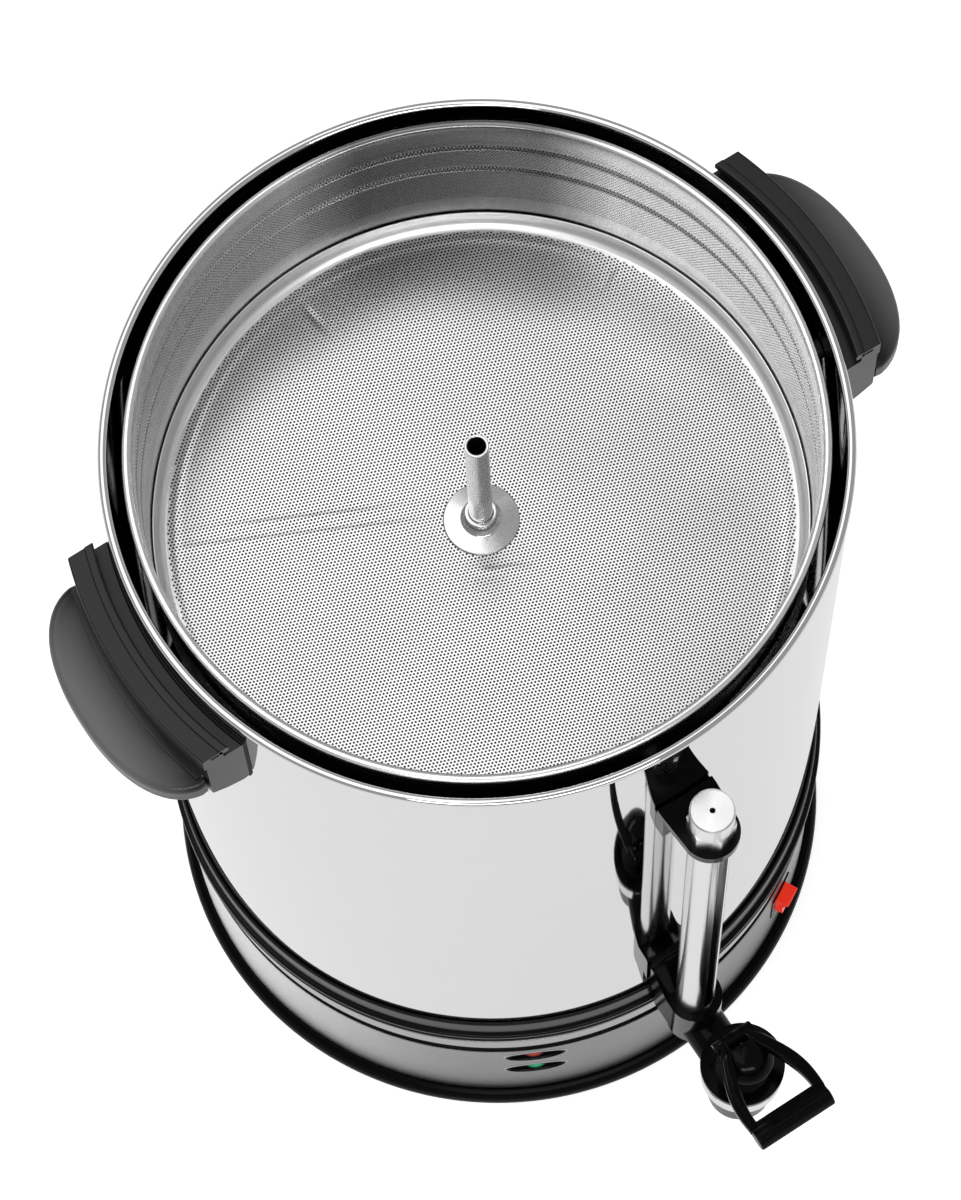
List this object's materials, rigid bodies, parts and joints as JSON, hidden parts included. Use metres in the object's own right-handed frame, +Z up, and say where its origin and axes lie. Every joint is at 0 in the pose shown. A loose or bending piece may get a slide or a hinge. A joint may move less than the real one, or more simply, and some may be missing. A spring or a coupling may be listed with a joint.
{
  "type": "coffee urn",
  "caption": "Percolating coffee urn with a hanging perforated filter basket on a riser tube, side handles, lever tap, sight gauge, pilot lamps and rocker switch.",
  "frame": {"origin": "centre of the standing ring, on the surface the urn stands on", "axes": "+Z is up along the tank's axis; the tap and the sight gauge are on the -Y side; the handles are on +X and -X; the power inlet is on +Y"},
  "size_m": [0.327, 0.3544, 0.419],
  "materials": {
    "mirror_steel": "mirror-polished stainless sheet",
    "black_plastic": "semi-gloss black moulding",
    "trim_chrome": "polished bright trim",
    "satin_skirt": "satin steel with a horizontal grain",
    "foot_plastic": "black moulding, semi-gloss",
    "zinc_sheet": "zinc-plated sheet",
    "pad_rubber": "matt black rubber",
    "zinc_rod": "zinc-plated",
    "element_sheath": "heat-tinted sheath",
    "cast_heater": "cast, matt",
    "ceramic_white": "pale ceramic",
    "terminal_plastic": "natural nylon",
    "lead_insulation": "silicone lead insulation",
    "red_lens": "clear red lens",
    "green_lens": "clear green lens",
    "red_rocker": "gloss red moulding",
    "pin_brass": "plated brass",
    "handle_plastic": "satin black phenolic",
    "gasket_rubber": "matt black",
    "screw_steel": "bright stainless",
    "tap_plastic": "gloss black moulding",
    "seal_silicone": "translucent silicone",
    "nut_chrome": "polished",
    "gauge_chrome": "polished tube",
    "gauge_glass": "clear tube",
    "cap_steel": "turned face, polished hexagon",
    "riser_steel": "bright tube",
    "basket_steel": "perforated bright sheet"
  },
  "bodies": {
    "urn": {"tank": "mirror_steel", "base_collar": "black_plastic", "trim_ring": "trim_chrome", "base_skirt": "satin_skirt", "foot_ring": "foot_plastic", "base_plate": "zinc_sheet", "anti_slip_pads": "pad_rubber", "tie_rods": "zinc_rod", "tie_rod_nuts": "zinc_rod", "base_screws": "zinc_rod", "heating_element": "element_sheath", "pump_heater": "cast_heater", "thermostat": "ceramic_white", "thermal_fuse": "ceramic_white", "terminal_block": "terminal_plastic", "wiring": "lead_insulation", "lamp_bezels": "black_plastic", "red_lamp": "red_lens", "green_lamp": "green_lens", "switch_housing": "black_plastic", "power_inlet": "black_plastic", "inlet_pins": "pin_brass", "left_handle": "handle_plastic", "right_handle": "handle_plastic", "handle_gaskets": "gasket_rubber", "handle_screws": "screw_steel", "tap_body": "tap_plastic", "tap_seals": "seal_silicone", "tap_nut": "screw_steel", "nozzle": "tap_plastic", "bonnet_nut": "nut_chrome", "bonnet": "tap_plastic", "valve_spring": "screw_steel", "gauge_shield": "gauge_chrome", "sight_glass": "gauge_glass", "gauge_seals": "gasket_rubber", "gauge_bracket": "tap_plastic", "bracket_screw": "screw_steel", "gauge_cap": "cap_steel"},
    "lever": {"lever": "tap_plastic", "lever_pin": "screw_steel"},
    "stem": {"valve_stem": "screw_steel", "seal_disc": "seal_silicone"},
    "rocker": {"rocker": "red_rocker"},
    "riser": {"riser_tube": "riser_steel", "riser_bell": "riser_steel", "basket_stop": "riser_steel"},
    "basket": {"basket_wall": "basket_steel", "basket_floor": "basket_steel", "basket_sleeve": "riser_steel"}
  },
  "joints": [
    {"name": "lever_pivot", "type": "hinge", "parent": "urn", "child": "lever", "pos_m": [0, -0.173, 0.148], "axis": [1, 0, 0], "range_deg": [0, 18], "stiffness_Nm_per_rad": 0.15, "springref_deg": -17.19},
    {"name": "stem_slide", "type": "slide", "parent": "urn", "child": "stem", "axis": [0, 0, -1], "range_m": [0, 0.0024], "deforming": ["valve_spring"]},
    {"name": "rocker_tilt", "type": "hinge", "parent": "urn", "child": "rocker", "pos_m": [0.06565, -0.11371, 0.05013], "axis": [-0.866, -0.5, 0], "range_deg": [0, 18]},
    {"name": "riser_lift", "type": "slide", "parent": "urn", "child": "riser", "axis": [0, 0, 1], "range_m": [0, 0.3]},
    {"name": "basket_lift", "type": "slide", "parent": "riser", "child": "basket", "axis": [0, 0, 1], "range_m": [0, 0.09]}
  ],
  "couplings": [
    {"joint": "stem_slide", "follows": "lever_pivot", "m_per_rad": 0.0072}
  ]
}
